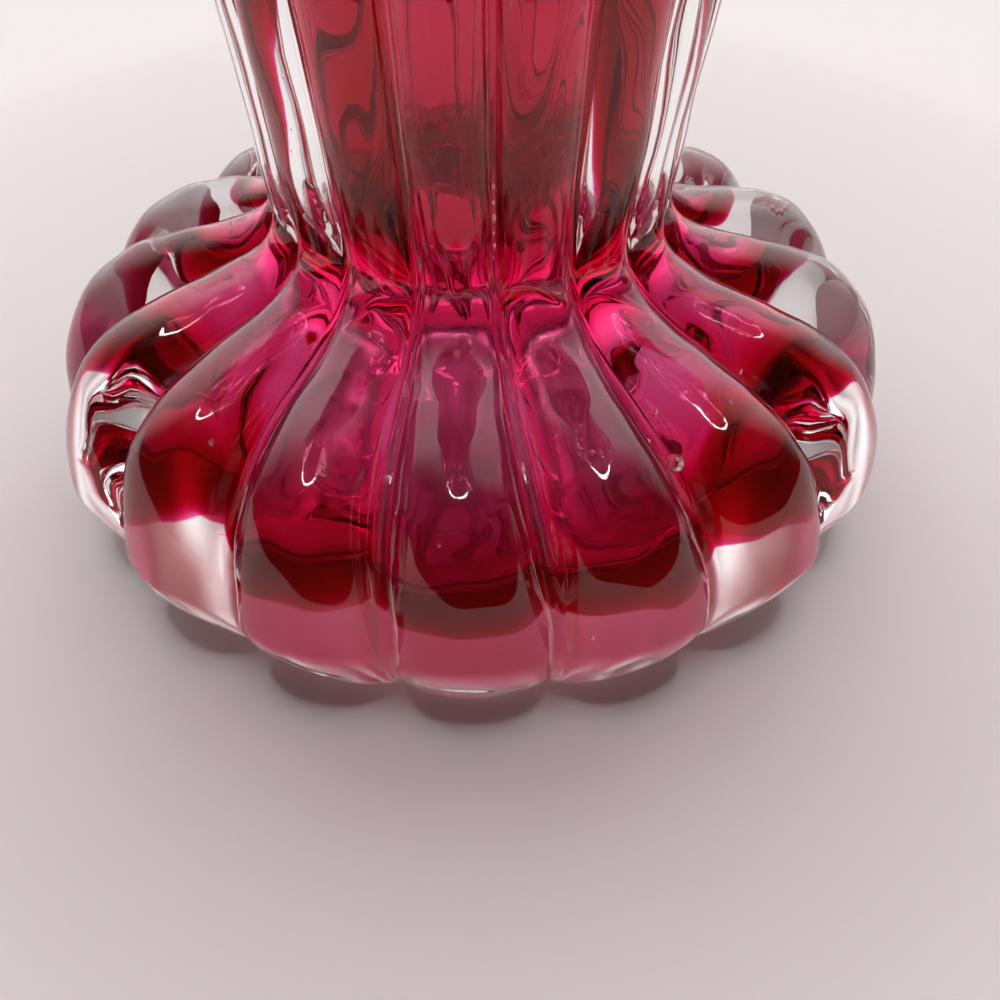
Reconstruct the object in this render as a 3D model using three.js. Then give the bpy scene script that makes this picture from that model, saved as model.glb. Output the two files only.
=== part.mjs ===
// A jack in the pulpit vase of ribbed blown glass: a cranberry lining in a thick clear casing. The
// gather is ribbed in a mould and turned a little as it is drawn up, its foot is a blown bulb that is
// pressed flat, and its mouth is pulled open into a flower with a rolled front lip and an upright back
// that ends in a point. One cavity runs from the mouth down the stem into the foot.
// Millimetres, +Z up, the origin in the middle of the ground base, the flower facing -Y.
import * as THREE from 'three';

// Ribs
const ribCount = 16;
const baseRibDepth = 3;
const footRibDepth = 6.5;
const waistRibDepth = 2.6;
const throatRibDepth = 3.4;
const lipRibDepth = 0.9;
const ribFlatness = 2.15;
const ribSteepness = 0.6;

// The ribs turn sideways a little as they rise, in degrees, over a height
const ribTwist = -7.5;
const twistReach = 35;

// Foot, measured to the creases between the ribs
const baseRadius = 43;
const footCreaseRadius = 48.5;
const footCreaseHeight = 10;
const footCreaseUndercut = 4.8;
const footCrestHeight = 13.5;
const footCrestUndercut = 10.7;
const shoulderCreaseRise = 19.5;
const shoulderCrestRise = 30.5;
const neckCreaseDrop = 14.6;
const neckCrestDrop = 13.5;

// Stem, from the waist above the foot up to the throat of the flower
const waistCreaseRadius = 22.6;
const waistHeight = 44.5;
const throatCreaseRadius = 36.5;
const throatHeight = 140;
const waistStraight = 1.5;
const throatStraight = 34;
const throatLean = 9;

// Flower: length and final lean of the wall, from the throat to the lip
const frontLength = 70;
const sideLength = 74;
const backLength = 100;
const pointLength = 16;
const pointWidth = 17;
const frontLean = 128;
const sideLean = 86;
const backLean = 34;
const rollLateness = 1.5;
const lipRounding = 0.9;

// Clear casing outside the cranberry, and the clearance between the two fused layers
const throatCasingWall = 2.6;
const lipCasingWall = 1.6;
const layerClearance = 0.2;

// Outside of the cranberry layer in the foot, measured to its own shallow creases
const rubyFootRibDepth = 1.2;
const rubyWaistRibDepth = 0.5;
const rubyBottomHeight = 7;
const rubyBottomRadius = 28;
const rubyFootRadius = 42.5;
const rubyFootHeight = 15.8;
const rubyFootUndercut = 8.4;
const rubyShoulderRise = 11.5;
const rubyNeckDrop = 14;
const rubyWaistRadius = 14;
const rubyWaistHeight = 46;

// Thickness of the cranberry layer, from under the cavity up to the lip
const floorRubyWall = 1.1;
const footRubyWall = 3.6;
const shoulderThinning = 0.6;
const waistRubyWall = 2.8;
const throatRubyWall = 2.6;
const lipRubyWall = 1.2;

// Facets
const ribFacets = 8;
const layerFacets = 4;
const undersideRings = 3;
const shoulderRings = 9;
const stemRings = 6;
const flowerRings = 9;
const layerFootRings = 3;
const layerShoulderRings = 7;
const wallSteps = 24;

const fullTurn = 2 * Math.PI;
const ribAngle = fullTurn / ribCount;
const throat = new THREE.Vector2(throatCreaseRadius, throatHeight);
const throatDirection = new THREE.Vector2(
  Math.sin(THREE.MathUtils.degToRad(throatLean)),
  Math.cos(THREE.MathUtils.degToRad(throatLean)),
);

const at = (radius, height) => new THREE.Vector2(radius, height);

// A stretch of outline that starts upright and ends at the given point and handle.
function rise(start, startRise, endHandle, end) {
  return new THREE.CubicBezierCurve(start, at(start.x, start.y + startRise), endHandle, end);
}

// The stem's outline from a waist to a throat point, leaning as the throat leans.
function stemCurve(waist, top) {
  const handle = top.clone().addScaledVector(throatDirection, -throatStraight);
  return rise(waist, waistStraight, handle, top);
}

// Points of a list of curves, each with its own number of steps; shared ends appear once.
function outline(curves, steps) {
  const points = [curves[0].getPoint(0)];
  curves.forEach((curve, i) => {
    points.push(...curve.getPoints(steps[i]).slice(1));
  });
  return points;
}

// The unit vector that points out of a wall leaning by the given angle.
function wallNormal(lean) {
  return at(Math.cos(lean), -Math.sin(lean));
}

// The outer side of foot and stem along a crease or along a crest.
function bodyOutline(ribs, height, undercut, shoulderRise, neckDrop) {
  const base = at(baseRadius + ribs.base, 0);
  const widest = at(footCreaseRadius + ribs.foot, height);
  const waist = at(waistCreaseRadius + ribs.waist, waistHeight);
  const top = throat
    .clone()
    .addScaledVector(wallNormal(THREE.MathUtils.degToRad(throatLean)), ribs.throat);
  const curves = [
    new THREE.QuadraticBezierCurve(base, at(widest.x, undercut), widest),
    rise(widest, shoulderRise, at(waist.x, waist.y - neckDrop), waist),
    stemCurve(waist, top),
  ];
  return outline(curves, [undersideRings, shoulderRings, stemRings]);
}

const creaseOutline = bodyOutline(
  { base: 0, foot: 0, waist: 0, throat: 0 },
  footCreaseHeight,
  footCreaseUndercut,
  shoulderCreaseRise,
  neckCreaseDrop,
);
const crestOutline = bodyOutline(
  { base: baseRibDepth, foot: footRibDepth, waist: waistRibDepth, throat: throatRibDepth },
  footCrestHeight,
  footCrestUndercut,
  shoulderCrestRise,
  neckCrestDrop,
);

// How far a rib stands out at an angle, from 0 in the crease to 1 on the crest, which is flat and
// drops steeply into the creases.
function ribShare(angle) {
  const turn = angle / ribAngle;
  const across = 2 * Math.abs(turn - Math.round(turn));
  return (1 - across ** ribFlatness) ** ribSteepness;
}

// Smooth blend of a front, a side and a back value round the flower.
function round(angle, front, side, back) {
  const forward = Math.cos(angle);
  const turn = forward * forward;
  return side * (1 - turn) + (forward > 0 ? front : back) * turn;
}

// Length of the flower's wall at an angle, with the pulled point in the middle of the back.
function wallLength(angle) {
  const fromBack = THREE.MathUtils.radToDeg(Math.PI - Math.abs(angle));
  const point = pointLength * Math.exp(-((fromBack / pointWidth) ** 2));
  return round(angle, frontLength, sideLength, backLength) + point;
}

// The flower's wall along the creases: its place and lean at a share of its length.
function flowerWall(angle, share) {
  const length = wallLength(angle) * share;
  const endLean = round(angle, frontLean, sideLean, backLean);
  const leanAt = (s) =>
    THREE.MathUtils.degToRad(throatLean + (endLean - throatLean) * s ** rollLateness);
  const place = throat.clone();
  for (let step = 0; step < wallSteps; step += 1) {
    const lean = leanAt((share * (step + 0.5)) / wallSteps);
    place.x += (Math.sin(lean) * length) / wallSteps;
    place.y += (Math.cos(lean) * length) / wallSteps;
  }
  return { place, lean: leanAt(share) };
}

// A point beside the flower's wall: outwards by a distance, and past its end by another.
function besideWall(wall, outwards, past) {
  return wall.place
    .clone()
    .addScaledVector(wallNormal(wall.lean), outwards)
    .add(at(Math.sin(wall.lean) * past, Math.cos(wall.lean) * past));
}

// An angle in the range from -180 to 180 degrees, as the flower's formulas want it.
function wrapped(angle) {
  return Math.atan2(Math.sin(angle), Math.cos(angle));
}

// How far the ribs have turned round the axis at a height on foot or stem.
function twistAt(height) {
  const above = Math.max(height - footCrestHeight, 0);
  return THREE.MathUtils.degToRad(ribTwist) * (1 - Math.exp(-above / twistReach));
}

// A ring of points turned round the axis by a twist. The function gives radius and height from the
// angle in the ribs' pattern and the angle round the vase.
function ring(facets, twist, pointAt) {
  return Array.from({ length: facets * ribCount }, (_, i) => {
    const angle = (i * ribAngle) / facets;
    const around = wrapped(angle + twist);
    const p = pointAt(angle, around);
    return new THREE.Vector3(p.x * Math.sin(around), -p.x * Math.cos(around), p.y);
  });
}

const mix = THREE.MathUtils.lerp;
const casingWall = (share) => mix(throatCasingWall, lipCasingWall, share);
const rubyWall = (share) => mix(throatRubyWall, lipRubyWall, share);
const flowerTwist = twistAt(throatHeight);

// Rings of a ribbed skin on foot and stem, between its outlines along the creases and the crests.
function bodyRings(facets, creases, crests) {
  return creases.map((crease, i) =>
    ring(facets, twistAt(crease.y), (angle) => crease.clone().lerp(crests[i], ribShare(angle))),
  );
}

// Rings of a smooth skin inside the flower's wall, from the throat to the lip.
function flowerSkin(depthAt) {
  return Array.from({ length: flowerRings }, (_, i) => {
    const share = (i + 1) / flowerRings;
    return ring(layerFacets, flowerTwist, (angle, around) =>
      besideWall(flowerWall(around, share), -depthAt(share), 0),
    );
  });
}

// Rings of the ribbed outside, from the ground base to the lip.
function outsideRings() {
  const flower = Array.from({ length: flowerRings }, (_, i) => {
    const share = (i + 1) / flowerRings;
    const depth = mix(throatRibDepth, lipRibDepth, share);
    return ring(ribFacets, flowerTwist, (angle, around) => {
      const wall = flowerWall(around, share);
      return besideWall(wall, depth * ribShare(angle), 0);
    });
  });
  return [...bodyRings(ribFacets, creaseOutline, crestOutline), ...flower];
}

// The point on a wall of the throat at a depth under its creases.
function throatPoint(depth) {
  return throat
    .clone()
    .addScaledVector(wallNormal(THREE.MathUtils.degToRad(throatLean)), -depth);
}

// A skin's outline in the cranberry layer, drawn in by a clearance: where it meets the casing at
// share 0, the wall of the cavity at share 1.
function rubyOutline(ribs, share, clearance) {
  const under = floorRubyWall * share + clearance;
  const beside = footRubyWall * share + clearance;
  const bottom = at(rubyBottomRadius - beside, rubyBottomHeight + under);
  const widest = at(rubyFootRadius + ribs.foot - beside, rubyFootHeight);
  const waist = at(rubyWaistRadius + ribs.waist - waistRubyWall * share - clearance, rubyWaistHeight);
  const top = throatPoint(throatCasingWall + throatRubyWall * share + clearance);
  const shoulder = rubyShoulderRise + shoulderThinning * share - clearance;
  const curves = [
    new THREE.QuadraticBezierCurve(bottom, at(widest.x, rubyFootUndercut + under), widest),
    rise(widest, shoulder, at(waist.x, waist.y - rubyNeckDrop), waist),
    stemCurve(waist, top),
  ];
  return outline(curves, [layerFootRings, layerShoulderRings, stemRings]);
}

// Rings of a skin in the cranberry layer, from the foot's bottom to the lip.
function rubySkin(share, clearance) {
  const creases = rubyOutline({ foot: 0, waist: 0 }, share, clearance);
  const ribs = { foot: rubyFootRibDepth, waist: rubyWaistRibDepth };
  const crests = rubyOutline(ribs, share, clearance);
  const depthAt = (along) => casingWall(along) + rubyWall(along) * share + clearance;
  return [...bodyRings(layerFacets, creases, crests), ...flowerSkin(depthAt)];
}

// The lip's rounding between the outside and the cavity, at a share of the wall's thickness.
function lipRing(share) {
  const thickness = lipCasingWall + lipRubyWall;
  const past = lipRounding * Math.sin(Math.PI * share);
  return ring(layerFacets, flowerTwist, (angle, around) =>
    besideWall(flowerWall(around, 1), -thickness * share, past),
  );
}

// Triangles between a ring and the next one, which has as many points or half as many. Rising and
// falling skins are cut along the same diagonals, so that two skins side by side never cross.
function between(count, nextCount, from, to, falling) {
  const faces = [];
  const fine = count / nextCount;
  for (let i = 0; i < nextCount; i += 1) {
    const next = (i + 1) % nextCount;
    const [a, b, c] = [from + fine * i, from + fine * i + 1, from + fine * next];
    if (fine > 1) {
      faces.push([a, b, to + i], [b, to + next, to + i], [b, c, to + next]);
    } else if (falling) {
      faces.push([a, c, to + next], [a, to + next, to + i]);
    } else {
      faces.push([a, c, to + i], [c, to + next, to + i]);
    }
  }
  return faces;
}

// One closed body from a first point on the axis, up the outer rings, down the inner rings and
// to a last point on the axis.
function closedBody(first, outer, inner, last) {
  const rings = [...outer, ...inner];
  const vertices = [first, ...rings.flat(), last];
  const faces = outer[0].map((_, j) => [0, 1 + ((j + 1) % outer[0].length), 1 + j]);
  let start = 1;
  rings.forEach((points, i) => {
    const nextStart = start + points.length;
    if (i < rings.length - 1) {
      const falling = i >= outer.length;
      faces.push(...between(points.length, rings[i + 1].length, start, nextStart, falling));
    } else {
      points.forEach((_, j) =>
        faces.push([start + j, start + ((j + 1) % points.length), nextStart]),
      );
    }
    start = nextStart;
  });
  const geometry = new THREE.BufferGeometry();
  geometry.setFromPoints(vertices);
  geometry.setIndex(faces.flat());
  geometry.computeVertexNormals();
  return geometry;
}

const onAxis = (height) => new THREE.Vector3(0, 0, height);

// Share of the lip's wall that is casing
const lipSeam = lipCasingWall / (lipCasingWall + lipRubyWall);

function glassPiece(name, geometry, material) {
  const mesh = new THREE.Mesh(geometry, material);
  mesh.name = name;
  return mesh;
}

function clearGlass() {
  return new THREE.MeshStandardMaterial({
    color: 0xeaf1ee,
    roughness: 0.03,
    metalness: 0,
    transparent: true,
    opacity: 0.35,
  });
}

function rubyGlass() {
  return new THREE.MeshStandardMaterial({ color: 0xa8104a, roughness: 0.03, metalness: 0 });
}

// Clear casing: the ribbed outside, the ground base, and the hollow that the cranberry fills.
function clearCasing() {
  const outer = [...outsideRings(), lipRing(lipSeam / 2)];
  const inner = rubySkin(0, 0).reverse();
  const body = closedBody(onAxis(0), outer, inner, onAxis(rubyBottomHeight));
  return glassPiece('clear_casing', body, clearGlass());
}

// Cranberry lining of the cavity, from the foot to the lip.
function cranberryLining() {
  const outer = [...rubySkin(0, layerClearance), lipRing((1 + lipSeam) / 2)];
  const inner = rubySkin(1, 0).reverse();
  const bottom = onAxis(rubyBottomHeight + layerClearance);
  const body = closedBody(bottom, outer, inner, onAxis(rubyBottomHeight + floorRubyWall));
  return glassPiece('cranberry_lining', body, rubyGlass());
}

const vase = new THREE.Group();
vase.add(clearCasing(), cranberryLining());

export default vase;
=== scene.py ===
"""A ribbed jack in the pulpit vase: a cranberry lining in thick clear glass, on a pale floor."""

import math

import bpy
import numpy as np
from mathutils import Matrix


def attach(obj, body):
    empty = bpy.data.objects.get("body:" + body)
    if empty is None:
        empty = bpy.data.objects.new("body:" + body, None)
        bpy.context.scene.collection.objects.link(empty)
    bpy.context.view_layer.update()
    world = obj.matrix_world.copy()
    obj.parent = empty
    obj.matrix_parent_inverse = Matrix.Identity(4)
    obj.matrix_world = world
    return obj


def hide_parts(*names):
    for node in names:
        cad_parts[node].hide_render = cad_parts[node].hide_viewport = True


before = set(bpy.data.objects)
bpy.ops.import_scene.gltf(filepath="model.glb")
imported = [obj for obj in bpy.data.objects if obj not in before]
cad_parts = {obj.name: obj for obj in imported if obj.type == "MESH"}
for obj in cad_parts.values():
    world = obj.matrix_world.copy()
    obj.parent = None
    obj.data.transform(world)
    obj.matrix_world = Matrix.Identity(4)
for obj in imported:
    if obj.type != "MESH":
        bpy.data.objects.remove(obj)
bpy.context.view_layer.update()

# The shapes below are in millimetres, as in the CAD model, and the meshes in metres
MM = 0.001

# Ribs, and how far they lean sideways as they rise
RIBS = 16
BASE_RIB_DEPTH = 3.0
FOOT_RIB_DEPTH = 6.5
WAIST_RIB_DEPTH = 2.6
THROAT_RIB_DEPTH = 3.4
LIP_RIB_DEPTH = 0.9
RIB_FLATNESS = 2.15
RIB_STEEPNESS = 0.6
RIB_TWIST = math.radians(-7.5)
TWIST_REACH = 35.0

# Foot, measured to the creases between the ribs
BASE_RADIUS = 43.0
FOOT_CREASE_RADIUS = 48.5
FOOT_CREASE_HEIGHT = 10.0
FOOT_CREASE_UNDERCUT = 4.8
FOOT_CREST_HEIGHT = 13.5
FOOT_CREST_UNDERCUT = 10.7
SHOULDER_CREASE_RISE = 19.5
SHOULDER_CREST_RISE = 30.5
NECK_CREASE_DROP = 14.6
NECK_CREST_DROP = 13.5

# Stem and throat
WAIST_CREASE_RADIUS = 22.6
WAIST_HEIGHT = 44.5
WAIST_STRAIGHT = 1.5
THROAT_CREASE_RADIUS = 36.5
THROAT_HEIGHT = 140.0
THROAT_STRAIGHT = 34.0
THROAT_LEAN = math.radians(9)

# Flower
FRONT_LENGTH = 70.0
SIDE_LENGTH = 74.0
BACK_LENGTH = 100.0
POINT_LENGTH = 16.0
POINT_WIDTH = math.radians(17)
FRONT_LEAN = math.radians(128)
SIDE_LEAN = math.radians(86)
BACK_LEAN = math.radians(34)
ROLL_LATENESS = 1.5
LIP_ROUNDING = 1.26

# Walls of the clear casing
THROAT_CASING_WALL = 2.6
LIP_CASING_WALL = 1.6

# Outside of the cranberry layer in the foot, measured to its own shallow creases
CORE_BOTTOM_HEIGHT = 7.0
CORE_BOTTOM_RADIUS = 30.0
CORE_FOOT_RADIUS = 42.5
CORE_FOOT_HEIGHT = 15.8
CORE_FOOT_UNDERCUT = 8.2
CORE_FOOT_RIB = 1.2
CORE_SHOULDER_RISE = 11.5
CORE_NECK_DROP = 14.0
CORE_WAIST_RADIUS = 14.0
CORE_WAIST_HEIGHT = 46.0
CORE_WAIST_RIB = 0.5

# Thickness of the cranberry layer, from under the cavity up to the lip
FLOOR_CORE_WALL = 0.8
FOOT_CORE_WALL = 3.8
RIM_THICKENING = 3.0
SHOULDER_THINNING = 1.4
WAIST_CORE_WALL = 3.7
THROAT_CORE_WALL = 3.0
LIP_CORE_WALL = 1.2
CORE_LIP_ROUNDING = 0.3

# The cranberry mesh ends this far inside the clear one, so that no two faces share a place
SKIN_CLEARANCE = 0.06

# Blown unevenness: waves of the glass surfaces, and how soon they set in over the base
RIPPLES = 14
RIPPLE_DEPTH = 0.035
RIPPLE_SHORTEST = 5.0
RIPPLE_LONGEST = 16.0
RIPPLE_RISE = 4.0
RADIUS_CHANCE = 1
HEIGHT_CHANCE = 2

# Bubbles in the clear casing: turn in degrees, radius, height, size and upward stretch
BUBBLES = (
    (33, 42.6, 27.8, 1.1, 1.0),
    (32, 38.2, 28.3, 0.4, 1.0),
    (14, 38.8, 33.4, 0.3, 1.2),
    (-21, 45.0, 31.7, 0.45, 1.0),
    (-41, 45.2, 30.0, 0.35, 1.3),
    (43, 43.1, 33.1, 0.35, 1.0),
    (15, 52.0, 14.6, 0.35, 1.0),
    (-4, 49.2, 27.4, 0.25, 1.0),
    (6, 22.6, 47.0, 0.22, 2.0),
    (6.5, 22.7, 48.6, 0.28, 2.4),
    (6.2, 22.8, 50.4, 0.2, 2.2),
    (6.4, 23.0, 52.3, 0.3, 2.8),
    (6.0, 23.1, 54.4, 0.24, 2.0),
    (6.3, 23.3, 56.5, 0.2, 2.6),
)
LARGE_BUBBLE = 0.6
BUBBLE_FINENESS = 3
LARGE_BUBBLE_FINENESS = 4

# Seeds: tiny bubbles scattered through the wall between the cranberry and the creases
SEEDS = 36
SEED_CHANCE = 7
SEED_TOP = 84.0
SEED_INNERMOST = 0.35
SEED_OUTERMOST = 0.8
SEED_SMALLEST = 0.08
SEED_LARGEST = 0.24
SEED_STRETCH = 2.2

# Fineness of the glass meshes: columns round, steps along the outlines, and rings of the flat middles
GLASS_COLUMNS = 20 * RIBS
GLASS_FOOT_STEPS = 14
GLASS_SHOULDER_STEPS = 50
GLASS_STEM_STEPS = 34
GLASS_FLOWER_STEPS = 40
GLASS_LIP_STEPS = 10
CORE_COLUMNS = 12 * RIBS
CORE_FOOT_STEPS = 16
CORE_SHOULDER_STEPS = 36
CORE_STEM_STEPS = 30
CORE_FLOWER_STEPS = 30
CORE_LIP_STEPS = 5
WALL_STEPS = 40
MIDDLE_RINGS = (0, 0.25, 0.5, 0.75)
BASE_EDGE_RING = 0.95
MERGE_DISTANCE = 1e-6

# Glass: how it bends light, the roughness of the ground base and how far up it reaches, and the smears
GLASS_IOR = 1.5
GROUND_ROUGHNESS = 0.35
GROUND_TOP = 0.05
SMEAR_SIZE = 16.7
SMEAR_DETAIL = 3.0
SMEAR_START = 0.55
SMEAR_FULL = 0.75
SMEAR_ROUGHNESS = 0.04

# Colours that the glass lets through, and how strongly it absorbs the rest per metre
CLEAR_TINT = "#e1f9f3"
CLEAR_DENSITY = 1.5
RUBY_TINT = "#f242b7"
RUBY_DENSITY = 820.0

# Pale floor, in metres: the camera stands close, and the floor reaches less far towards it
FLOOR_COLOUR = "#d9d4d3"
FLOOR_ROUGHNESS = 0.8
FLOOR_WIDTH = 2.4
FLOOR_FRONT = 0.135
FLOOR_BACK = 1.2
FLOOR_GAP = 0.0001

# Light: a dim room, its ceiling, a bright wall behind the vase and a ring of small lamps overhead
ROOM_LEVEL = 0.03
CEILING_LEVEL = 0.2
CEILING_TILT = math.radians(10)
CEILING_WIDE = math.radians(45)
CEILING_NARROW = math.radians(25)
WALL_LEVEL = 1.75
WALL_TILT = math.radians(62)
WALL_WIDE = math.radians(72)
WALL_NARROW = math.radians(32)
RING_LEVEL = 90.0
RING_TILT = math.radians(-7)
RING_RADIUS = math.radians(14)
RING_WIDTH = math.radians(3)
RING_LAMPS = 36

# What the camera sees past the floor, and what the glass shows there
BACKDROP_LEVEL = 0.82
THROUGH_GLASS_LEVEL = 0.7

# How often light may be bent or mirrored in the nested glass
BOUNCES = 32
GLOSSY_BOUNCES = 12

# Camera, in millimetres of film, metres and degrees
CAMERA_LENS = 55.2556
CAMERA_FILM = 36
CAMERA_NEAR = 0.01
CAMERA_PLACE = (0.000978, -0.172928, 0.136651)
CAMERA_TURN = (50.2387, -0.1172, -0.8143)

WHITE = (1, 1, 1, 1)
THROAT = np.array([THROAT_CREASE_RADIUS, THROAT_HEIGHT])
RIB_ANGLE = 2 * math.pi / RIBS


def mix(a, b, share):
    return a * (1 - share) + b * share


def wall_normal(lean):
    """Unit vector out of a wall that leans out by an angle, as radius and height."""
    return np.stack([np.cos(lean), -np.sin(lean)], -1)


def wall_direction(lean):
    """Unit vector up along a wall that leans out by an angle."""
    return np.stack([np.sin(lean), np.cos(lean)], -1)


def curve(points, steps):
    """Points of a Bezier curve of any order, as radius and height."""
    share = np.linspace(0, 1, steps + 1)[:, None]
    points = [np.broadcast_to(np.array(point, float), (steps + 1, 2)) for point in points]
    while len(points) > 1:
        points = [mix(a, b, share) for a, b in zip(points, points[1:])]
    return points[0]


def rise(start, start_rise, end_handle, end, steps):
    """A stretch of outline that starts upright and ends at a handle and a point."""
    return curve([start, (start[0], start[1] + start_rise), end_handle, end], steps)


def stem(waist, top, steps):
    """The stem's outline from a waist to a throat point, leaning as the throat leans."""
    handle = top - THROAT_STRAIGHT * wall_direction(THROAT_LEAN)
    return rise(waist, WAIST_STRAIGHT, handle, top, steps)


def chain(*stretches):
    """One outline from stretches that share their ends."""
    return np.concatenate([stretches[0]] + [s[1:] for s in stretches[1:]])


def outer_outline(base_rib, foot_rib, waist_rib, throat_rib, height, undercut, shoulder, neck):
    """The casing's outline from the edge of the base to the throat, at a height of the ribs."""
    widest = (FOOT_CREASE_RADIUS + foot_rib, height)
    waist = (WAIST_CREASE_RADIUS + waist_rib, WAIST_HEIGHT)
    top = THROAT + throat_rib * wall_normal(THROAT_LEAN)
    return chain(
        curve([(BASE_RADIUS + base_rib, 0), (widest[0], undercut), widest], GLASS_FOOT_STEPS),
        rise(widest, shoulder, (waist[0], waist[1] - neck), waist, GLASS_SHOULDER_STEPS),
        stem(waist, top, GLASS_STEM_STEPS),
    )


def crease_outline():
    return outer_outline(0, 0, 0, 0, FOOT_CREASE_HEIGHT, FOOT_CREASE_UNDERCUT,
                         SHOULDER_CREASE_RISE, NECK_CREASE_DROP)


def crest_outline():
    return outer_outline(BASE_RIB_DEPTH, FOOT_RIB_DEPTH, WAIST_RIB_DEPTH, THROAT_RIB_DEPTH,
                         FOOT_CREST_HEIGHT, FOOT_CREST_UNDERCUT, SHOULDER_CREST_RISE,
                         NECK_CREST_DROP)


def core_outline(foot_rib, waist_rib, share, inset):
    """A skin of the cranberry layer: its outside at share 0, the wall of the cavity at share 1."""
    bottom = (CORE_BOTTOM_RADIUS - FOOT_CORE_WALL * share - inset,
              CORE_BOTTOM_HEIGHT + FLOOR_CORE_WALL * share + inset)
    widest = (CORE_FOOT_RADIUS + foot_rib - FOOT_CORE_WALL * share - inset, CORE_FOOT_HEIGHT)
    waist = (CORE_WAIST_RADIUS + waist_rib - WAIST_CORE_WALL * share - inset, CORE_WAIST_HEIGHT)
    wall = THROAT_CASING_WALL + THROAT_CORE_WALL * share + inset
    top = THROAT - wall * wall_normal(THROAT_LEAN)
    undercut = CORE_FOOT_UNDERCUT + (FLOOR_CORE_WALL + RIM_THICKENING) * share + inset
    shoulder = CORE_SHOULDER_RISE + SHOULDER_THINNING * share - inset
    return chain(
        curve([bottom, (widest[0], undercut), widest], CORE_FOOT_STEPS),
        rise(widest, shoulder, (waist[0], waist[1] - CORE_NECK_DROP), waist, CORE_SHOULDER_STEPS),
        stem(waist, top, CORE_STEM_STEPS),
    )


def rib_share(angle):
    """How far a rib stands out at an angle: a rounded crest that drops steeply into the creases."""
    turn = angle / RIB_ANGLE
    across = np.minimum(2 * np.abs(turn - np.round(turn)), 1)
    return (1 - across**RIB_FLATNESS) ** RIB_STEEPNESS


def rib_twist(height):
    """How far the ribs have turned round the axis at a height on foot or stem."""
    return RIB_TWIST * (1 - np.exp(-np.maximum(height - FOOT_CREST_HEIGHT, 0) / TWIST_REACH))


def ribbed_rows(angle, crease, crest):
    """Rows of a ribbed skin between the outlines of its creases and of its crests."""
    return mix(crease[:, None, :], crest[:, None, :], rib_share(angle)[None, :, None])


def with_middle(rows, rings, twist):
    """A skin that starts in its middle, on rings at shares of its first row, with the twist of each row."""
    middle = [rows[0] * (ring, 1) for ring in rings]
    return np.concatenate([middle, rows]), np.concatenate([np.zeros(len(rings)), twist])


def core_skin(angle, share, inset):
    """Rows of a skin of the cranberry layer, from its middle out and up to the throat."""
    crease = core_outline(0, 0, share, inset)
    rows = ribbed_rows(angle, crease, core_outline(CORE_FOOT_RIB, CORE_WAIST_RIB, share, inset))
    return with_middle(rows, MIDDLE_RINGS, rib_twist(crease[:, 1]))


def casing_skin(angle):
    """Rows of the casing's outside, from the middle of its flat base out and up to the throat."""
    crease = crease_outline()
    rows = ribbed_rows(angle, crease, crest_outline())
    return with_middle(rows, (*MIDDLE_RINGS, BASE_EDGE_RING), rib_twist(crease[:, 1]))


def round_flower(angle, front, side, back):
    """Smooth blend of a front, a side and a back value round the flower."""
    turn = np.cos(angle) ** 2
    return mix(side, np.where(np.cos(angle) > 0, front, back), turn)


def flower_wall(angle, share):
    """Place and lean of the flower's wall along the creases, at a share of its length."""
    from_back = math.pi - np.abs(angle)
    length = round_flower(angle, FRONT_LENGTH, SIDE_LENGTH, BACK_LENGTH)
    length = (length + POINT_LENGTH * np.exp(-((from_back / POINT_WIDTH) ** 2))) * share
    end_lean = round_flower(angle, FRONT_LEAN, SIDE_LEAN, BACK_LEAN)

    def lean_at(s):
        return mix(THROAT_LEAN, end_lean, s**ROLL_LATENESS)

    place = np.broadcast_to(THROAT, angle.shape + (2,)).copy()
    for step in range(WALL_STEPS):
        lean = lean_at(share * (step + 0.5) / WALL_STEPS)
        place += wall_direction(lean) * (length / WALL_STEPS)[:, None]
    return place, lean_at(share)


def flower_rows(angle, shares, depth_at):
    """Rows of the flower's skin at a distance outside its creases."""
    rows = []
    for share in shares:
        place, lean = flower_wall(angle, share)
        rows.append(place + wall_normal(lean) * np.reshape(depth_at(share), (-1, 1)))
    return np.array(rows)


def lip_rows(angle, outside, inside, rounding, steps):
    """Rows round the lip, from one depth in the wall to another."""
    place, lean = flower_wall(angle, 1.0)
    rows = []
    for turn in np.linspace(0, math.pi, steps + 1)[1:-1]:
        depth = mix(outside, inside, (1 - math.cos(turn)) / 2)
        past = rounding * math.sin(turn)
        rows.append(place + wall_normal(lean) * np.reshape(depth, (-1, 1)) + wall_direction(lean) * past)
    return np.array(rows)


def turn_angles(columns):
    """Angles of a ring's columns, closed by repeating the first one."""
    angle = np.arange(columns + 1) * 2 * math.pi / columns
    return np.arctan2(np.sin(angle), np.cos(angle))


def ripple(place, seed):
    """Slow waves over the glass, as a sum of plane waves of chance directions."""
    chance = np.random.default_rng(seed)
    total = np.zeros(len(place))
    for _ in range(RIPPLES):
        direction = chance.normal(size=3)
        direction *= 2 * math.pi / np.linalg.norm(direction)
        length = chance.uniform(RIPPLE_SHORTEST, RIPPLE_LONGEST)
        total += np.sin(place @ direction / length + chance.uniform(0, 2 * math.pi))
    return RIPPLE_DEPTH * total


def blown(radius, around, height):
    """Places of a skin in millimetres, with the unevenness of blown glass above the flat base."""
    side = np.stack([np.sin(around), -np.cos(around)], -1)
    place = np.concatenate([radius[:, None] * side, height[:, None]], -1)
    share = np.minimum(height / RIPPLE_RISE, 1) * np.minimum(radius / RIPPLE_RISE, 1)
    radius = radius + share * ripple(place, RADIUS_CHANCE)
    height = height + share * ripple(place, HEIGHT_CHANCE)
    return np.concatenate([radius[:, None] * side, height[:, None]], -1)


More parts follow.
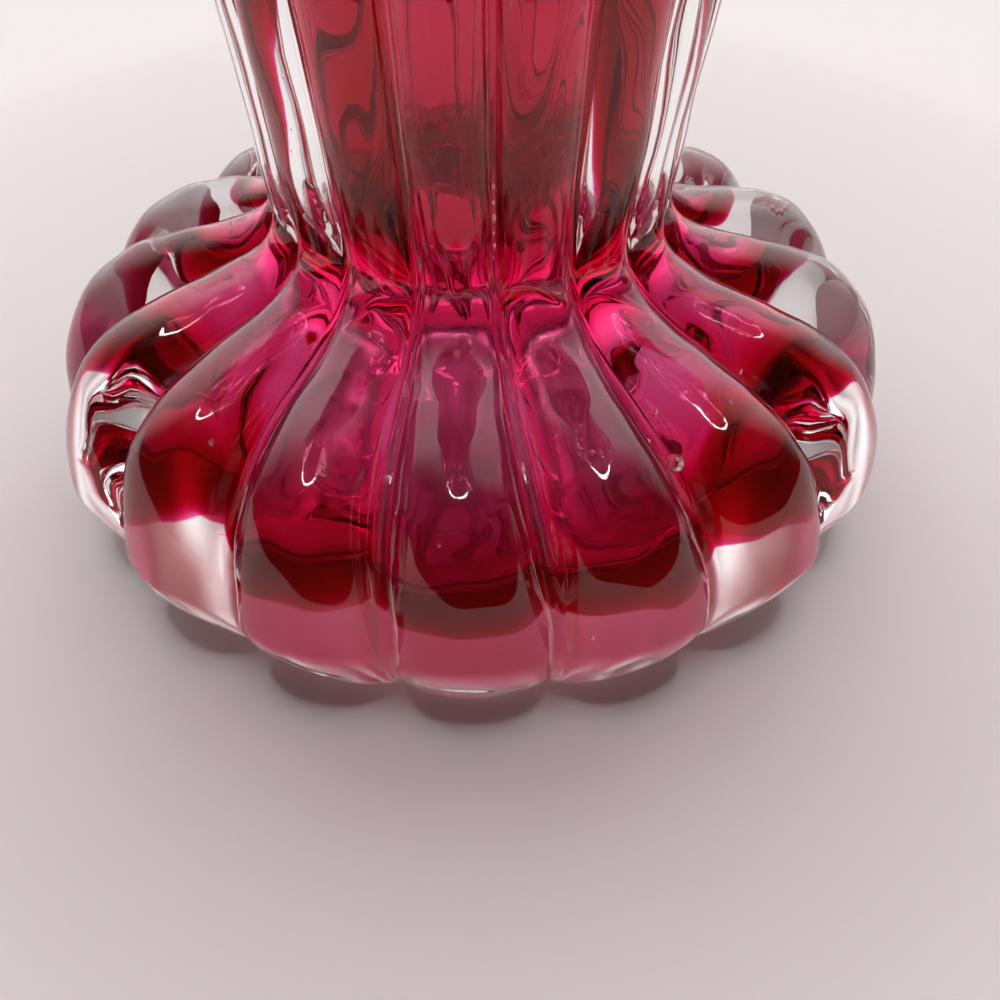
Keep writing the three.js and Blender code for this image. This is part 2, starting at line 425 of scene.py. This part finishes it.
def wrapped_skin(name, rows, angle, twist):
    """A closed body of glass: a grid wrapped round the axis, its seam and its poles merged."""
    columns = rows.shape[1] - 1
    steps = rows.shape[0] - 1
    bpy.ops.object.select_all(action="DESELECT")
    bpy.ops.mesh.primitive_grid_add(x_subdivisions=columns, y_subdivisions=steps, size=1)
    piece = bpy.context.object
    piece.name = name
    flat = np.empty(len(piece.data.vertices) * 3, np.float32)
    piece.data.vertices.foreach_get("co", flat)
    flat = flat.reshape(-1, 3)
    column = np.rint((flat[:, 0] + 0.5) * columns).astype(int)
    row = np.rint((flat[:, 1] + 0.5) * steps).astype(int)
    radius, height = rows[row, column].T
    place = blown(radius, angle[column] + twist[row], height) * MM
    piece.data.vertices.foreach_set("co", place.astype(np.float32).ravel())
    bpy.ops.object.mode_set(mode="EDIT")
    bpy.ops.mesh.select_all(action="SELECT")
    bpy.ops.mesh.remove_doubles(threshold=MERGE_DISTANCE)
    bpy.ops.mesh.normals_make_consistent(inside=False)
    bpy.ops.object.mode_set(mode="OBJECT")
    bpy.ops.object.shade_smooth()
    return piece


def vase_layer(name, angle, outside, cavity, outer_depth, inner_depth, rounding, flower_steps, lip_steps):
    """A closed layer of the vase: up its outside, over the lip and down the cavity to the middle.

    The outside and the cavity are rows up to the throat with their twists, and the depths say how far
    the two sides of the flower's wall stand outside its creases, at a share of its length.
    """
    last = rib_twist(THROAT_HEIGHT)
    turned = angle + last
    shares = np.linspace(0, 1, flower_steps + 1)[1:]
    flower = np.concatenate([
        flower_rows(turned, shares, outer_depth),
        lip_rows(turned, outer_depth(1), inner_depth(1), rounding, lip_steps),
        flower_rows(turned, shares[::-1], inner_depth),
    ])
    rows = np.concatenate([outside[0], flower, cavity[0][::-1]])
    twist = np.concatenate([outside[1], np.full(len(flower), last), cavity[1][::-1]])
    return wrapped_skin(name, rows, angle, twist)


def cavity_depth(share):
    """How far the cavity's wall lies inside the flower's creases, as a negative depth."""
    throat = THROAT_CASING_WALL + THROAT_CORE_WALL
    return -mix(throat, LIP_CASING_WALL + LIP_CORE_WALL, share)


def clear_glass_body():
    """The whole body of glass, from its ribbed outside to the wall of the cavity."""
    angle = turn_angles(GLASS_COLUMNS)

    def outer_depth(share):
        return mix(THROAT_RIB_DEPTH, LIP_RIB_DEPTH, share) * rib_share(angle)

    return vase_layer("clear_glass", angle, casing_skin(angle), core_skin(angle, 1, 0), outer_depth,
                      cavity_depth, LIP_ROUNDING, GLASS_FLOWER_STEPS, GLASS_LIP_STEPS)


def ruby_body():
    """The cranberry layer, which lies inside the body of glass and just short of its cavity."""
    angle = turn_angles(CORE_COLUMNS)

    def outer_depth(share):
        return -mix(THROAT_CASING_WALL, LIP_CASING_WALL, share) - SKIN_CLEARANCE

    def inner_depth(share):
        return cavity_depth(share) + SKIN_CLEARANCE

    outside = core_skin(angle, 0, SKIN_CLEARANCE)
    cavity = core_skin(angle, 1, -SKIN_CLEARANCE)
    return vase_layer("ruby_core_glass", angle, outside, cavity, outer_depth, inner_depth,
                      CORE_LIP_ROUNDING, CORE_FLOWER_STEPS, CORE_LIP_STEPS)


def seeds():
    """Chance places, sizes and stretches of the seeds, in the order that the bubbles have."""
    chance = np.random.default_rng(SEED_CHANCE)
    crease = crease_outline()
    core = core_outline(CORE_FOOT_RIB, CORE_WAIST_RIB, 0, 0)
    found = []
    for _ in range(SEEDS):
        height = chance.uniform(FOOT_CREST_HEIGHT, SEED_TOP)
        outside = np.interp(height, crease[:, 1], crease[:, 0])
        inside = np.interp(height, core[:, 1], core[:, 0])
        radius = mix(inside, outside, chance.uniform(SEED_INNERMOST, SEED_OUTERMOST))
        size = chance.uniform(SEED_SMALLEST, SEED_LARGEST)
        turn = chance.uniform(0, 360)
        found.append((turn, radius, height, size, chance.uniform(1, SEED_STRETCH)))
    return found


def bubble(turn, radius, height, size, stretch):
    """A closed bubble whose faces look into it, as the inner skin of a hollow in the glass."""
    around = math.radians(turn)
    fineness = LARGE_BUBBLE_FINENESS if size > LARGE_BUBBLE else BUBBLE_FINENESS
    bpy.ops.object.select_all(action="DESELECT")
    bpy.ops.mesh.primitive_ico_sphere_add(subdivisions=fineness, radius=size * MM)
    piece = bpy.context.object
    bpy.ops.object.mode_set(mode="EDIT")
    bpy.ops.mesh.select_all(action="SELECT")
    bpy.ops.transform.resize(value=(1, 1, stretch))
    bpy.ops.transform.translate(
        value=(radius * math.sin(around) * MM, -radius * math.cos(around) * MM, height * MM)
    )
    bpy.ops.mesh.flip_normals()
    bpy.ops.object.mode_set(mode="OBJECT")
    bpy.ops.object.shade_smooth()
    return piece


def join_bubbles(glass):
    """Join the bubbles and seeds into the glass, as hollows of the same mesh."""
    pieces = [bubble(*values) for values in [*BUBBLES, *seeds()]]
    bpy.ops.object.select_all(action="DESELECT")
    for piece in [*pieces, glass]:
        piece.select_set(True)
    bpy.context.view_layer.objects.active = glass
    bpy.ops.object.join()


def linear(hex_colour):
    """An sRGB hex colour as linear red, green and blue with full alpha."""
    parts = [int(hex_colour[i : i + 2], 16) / 255 for i in (1, 3, 5)]
    return tuple(c / 12.92 if c <= 0.04045 else ((c + 0.055) / 1.055) ** 2.4 for c in parts) + (1,)


def add_node(owner, kind, settings=(), links=()):
    """A node with its settings, attributes or inputs by name or number, and the links into it."""
    node = owner.node_tree.nodes.new(kind)
    for name, value in dict(settings).items():
        if isinstance(name, int) or name in node.inputs:
            node.inputs[name].default_value = value
        else:
            setattr(node, name, value)
    for name, source in dict(links).items():
        owner.node_tree.links.new(source, node.inputs[name])
    return node


def without_nodes(owner):
    """A new material or world with an empty node tree."""
    owner.use_nodes = True
    owner.node_tree.nodes.clear()
    return owner


# Clear glass, fire-polished in the furnace: it looks wet, with a few softer smears, is cool where it is
# thick, and blurs what lies below it where the base was ground flat
def fire_polished_glass():
    material = without_nodes(bpy.data.materials.new("clear_fire_polished_glass"))
    place = add_node(material, "ShaderNodeTexCoord")
    smears = add_node(material, "ShaderNodeTexNoise", {
        "Scale": 1 / (SMEAR_SIZE * MM), "Detail": SMEAR_DETAIL}, {"Vector": place.outputs["Object"]})
    polish = add_node(material, "ShaderNodeMapRange", {
        "From Min": SMEAR_START, "From Max": SMEAR_FULL, "To Min": 0.0, "To Max": SMEAR_ROUGHNESS},
        {"Value": smears.outputs["Fac"]})
    parts = add_node(material, "ShaderNodeSeparateXYZ", links={"Vector": place.outputs["Object"]})
    ground = add_node(material, "ShaderNodeMapRange", {
        "From Min": GROUND_TOP * MM, "From Max": 0.0, "To Min": 0.0, "To Max": GROUND_ROUGHNESS},
        {"Value": parts.outputs["Z"]})
    roughness = add_node(material, "ShaderNodeMath", {"operation": "MAXIMUM"},
                         {0: polish.outputs["Result"], 1: ground.outputs["Result"]})
    glass = add_node(material, "ShaderNodeBsdfPrincipled", {
        "Base Color": WHITE, "IOR": GLASS_IOR, "Transmission Weight": 1.0},
        {"Roughness": roughness.outputs["Value"]})
    tint = add_node(material, "ShaderNodeVolumeAbsorption", {
        "Color": linear(CLEAR_TINT), "Density": CLEAR_DENSITY})
    add_node(material, "ShaderNodeOutputMaterial", links={
        "Surface": glass.outputs["BSDF"], "Volume": tint.outputs["Volume"]})
    return material


# Gold ruby glass: pink where it is thin, crimson and then maroon where it is thick. It is fused to the
# clear glass round it, so its own skin doesn't bend light a second time and has an IOR of 1
def cranberry_glass():
    material = without_nodes(bpy.data.materials.new("cranberry_glass"))
    glass = add_node(material, "ShaderNodeBsdfPrincipled", {
        "Base Color": WHITE, "Roughness": 0.0, "IOR": 1.0, "Transmission Weight": 1.0})
    tint = add_node(material, "ShaderNodeVolumeAbsorption", {
        "Color": linear(RUBY_TINT), "Density": RUBY_DENSITY})
    add_node(material, "ShaderNodeOutputMaterial", links={
        "Surface": glass.outputs["BSDF"], "Volume": tint.outputs["Volume"]})
    return material


# Uncoated paper: matt and pale
def pale_paper():
    material = without_nodes(bpy.data.materials.new("pale_paper"))
    paper = add_node(material, "ShaderNodeBsdfPrincipled", {
        "Base Color": linear(FLOOR_COLOUR), "Roughness": FLOOR_ROUGHNESS})
    add_node(material, "ShaderNodeOutputMaterial", links={"Surface": paper.outputs["BSDF"]})
    return material


def floor():
    bpy.ops.object.select_all(action="DESELECT")
    bpy.ops.mesh.primitive_plane_add(size=1)
    sheet = bpy.context.object
    sheet.name = "floor"
    bpy.ops.object.mode_set(mode="EDIT")
    bpy.ops.mesh.select_all(action="SELECT")
    bpy.ops.transform.resize(value=(FLOOR_WIDTH, FLOOR_FRONT + FLOOR_BACK, 1))
    bpy.ops.transform.translate(value=(0, (FLOOR_BACK - FLOOR_FRONT) / 2, -FLOOR_GAP))
    bpy.ops.object.mode_set(mode="OBJECT")
    sheet.data.materials.append(pale_paper())


def glow(studio, direction, tilt, wide, narrow, low, high):
    """Level that rises softly from low to high as a direction turns towards a tilted upright axis."""
    axis = (0, math.sin(tilt), math.cos(tilt))
    along = add_node(studio, "ShaderNodeVectorMath", {"operation": "DOT_PRODUCT", 1: axis},
                     {0: direction})
    level = add_node(studio, "ShaderNodeMapRange", {
        "interpolation_type": "SMOOTHSTEP", "From Min": math.cos(wide), "From Max": math.cos(narrow),
        "To Min": low, "To Max": high}, {"Value": along.outputs["Value"]})
    return level.outputs["Result"]


def lamp_ring(studio, direction):
    """Level of a thin ring of lamps round a tilted upright axis."""
    disk = glow(studio, direction, RING_TILT, RING_RADIUS + RING_WIDTH / 2, RING_RADIUS, 0, RING_LEVEL)
    hole = glow(studio, direction, RING_TILT, RING_RADIUS, RING_RADIUS - RING_WIDTH / 2, 0, RING_LEVEL)
    ring = add_node(studio, "ShaderNodeMath", {"operation": "SUBTRACT"}, {0: disk, 1: hole})
    turned = add_node(studio, "ShaderNodeVectorRotate", {
        "rotation_type": "X_AXIS", "Angle": RING_TILT}, {"Vector": direction})
    parts = add_node(studio, "ShaderNodeSeparateXYZ", links={"Vector": turned.outputs["Vector"]})
    around = add_node(studio, "ShaderNodeMath", {"operation": "ARCTAN2"},
                      {0: parts.outputs["X"], 1: parts.outputs["Y"]})
    lamps = add_node(studio, "ShaderNodeMath", {"operation": "MULTIPLY", 1: RING_LAMPS},
                     {0: around.outputs["Value"]})
    wave = add_node(studio, "ShaderNodeMath", {"operation": "COSINE"}, {0: lamps.outputs["Value"]})
    lit = add_node(studio, "ShaderNodeMath", {"operation": "MULTIPLY_ADD", 1: 0.5, 2: 0.5},
                   {0: wave.outputs["Value"]})
    level = add_node(studio, "ShaderNodeMath", {"operation": "MULTIPLY"},
                     {0: ring.outputs["Value"], 1: lit.outputs["Value"]})
    return level.outputs["Value"]


def studio_light():
    """The light of the room, and the plain backdrop that the camera and the glass see past the floor."""
    studio = without_nodes(bpy.data.worlds.new("studio"))
    bpy.context.scene.world = studio
    direction = add_node(studio, "ShaderNodeTexCoord").outputs["Generated"]
    ceiling = glow(studio, direction, CEILING_TILT, CEILING_WIDE, CEILING_NARROW, ROOM_LEVEL,
                   CEILING_LEVEL)
    wall = glow(studio, direction, WALL_TILT, WALL_WIDE, WALL_NARROW, 0, WALL_LEVEL)
    soft = add_node(studio, "ShaderNodeMath", {"operation": "ADD"}, {0: ceiling, 1: wall})
    room = add_node(studio, "ShaderNodeMath", {"operation": "ADD"},
                    {0: soft.outputs["Value"], 1: lamp_ring(studio, direction)})
    path = add_node(studio, "ShaderNodeLightPath")
    backdrop = add_node(studio, "ShaderNodeMath", {"operation": "MULTIPLY", 1: THROUGH_GLASS_LEVEL},
                        {0: path.outputs["Is Transmission Ray"]})
    light = add_node(studio, "ShaderNodeMath", {"operation": "MAXIMUM"},
                     {0: room.outputs["Value"], 1: backdrop.outputs["Value"]})
    # The mix of two levels has its share at input 0 and the levels at inputs 2 and 3
    seen = add_node(studio, "ShaderNodeMix", {"data_type": "FLOAT", 3: BACKDROP_LEVEL},
                    {0: path.outputs["Is Camera Ray"], 2: light.outputs["Value"]})
    background = add_node(studio, "ShaderNodeBackground", {"Color": WHITE},
                          {"Strength": seen.outputs[0]})
    add_node(studio, "ShaderNodeOutputWorld", links={"Surface": background.outputs["Background"]})


def camera():
    data = bpy.data.cameras.new("camera")
    data.lens = CAMERA_LENS
    data.sensor_width = CAMERA_FILM
    data.clip_start = CAMERA_NEAR
    view = bpy.data.objects.new("camera", data)
    bpy.context.scene.collection.objects.link(view)
    view.location = CAMERA_PLACE
    view.rotation_euler = [math.radians(a) for a in CAMERA_TURN]
    bpy.context.scene.camera = view


camera()
glass = clear_glass_body()
join_bubbles(glass)
glass.data.materials.append(fire_polished_glass())
ruby = ruby_body()
ruby.data.materials.append(cranberry_glass())
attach(glass, "root")
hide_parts("clear_casing")
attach(ruby, "root")
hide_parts("cranberry_lining")
floor()
studio_light()

bpy.context.scene.view_settings.view_transform = "Standard"
cycles = bpy.context.scene.cycles
cycles.max_bounces = BOUNCES
cycles.transmission_bounces = BOUNCES
cycles.transparent_max_bounces = BOUNCES
cycles.glossy_bounces = GLOSSY_BOUNCES
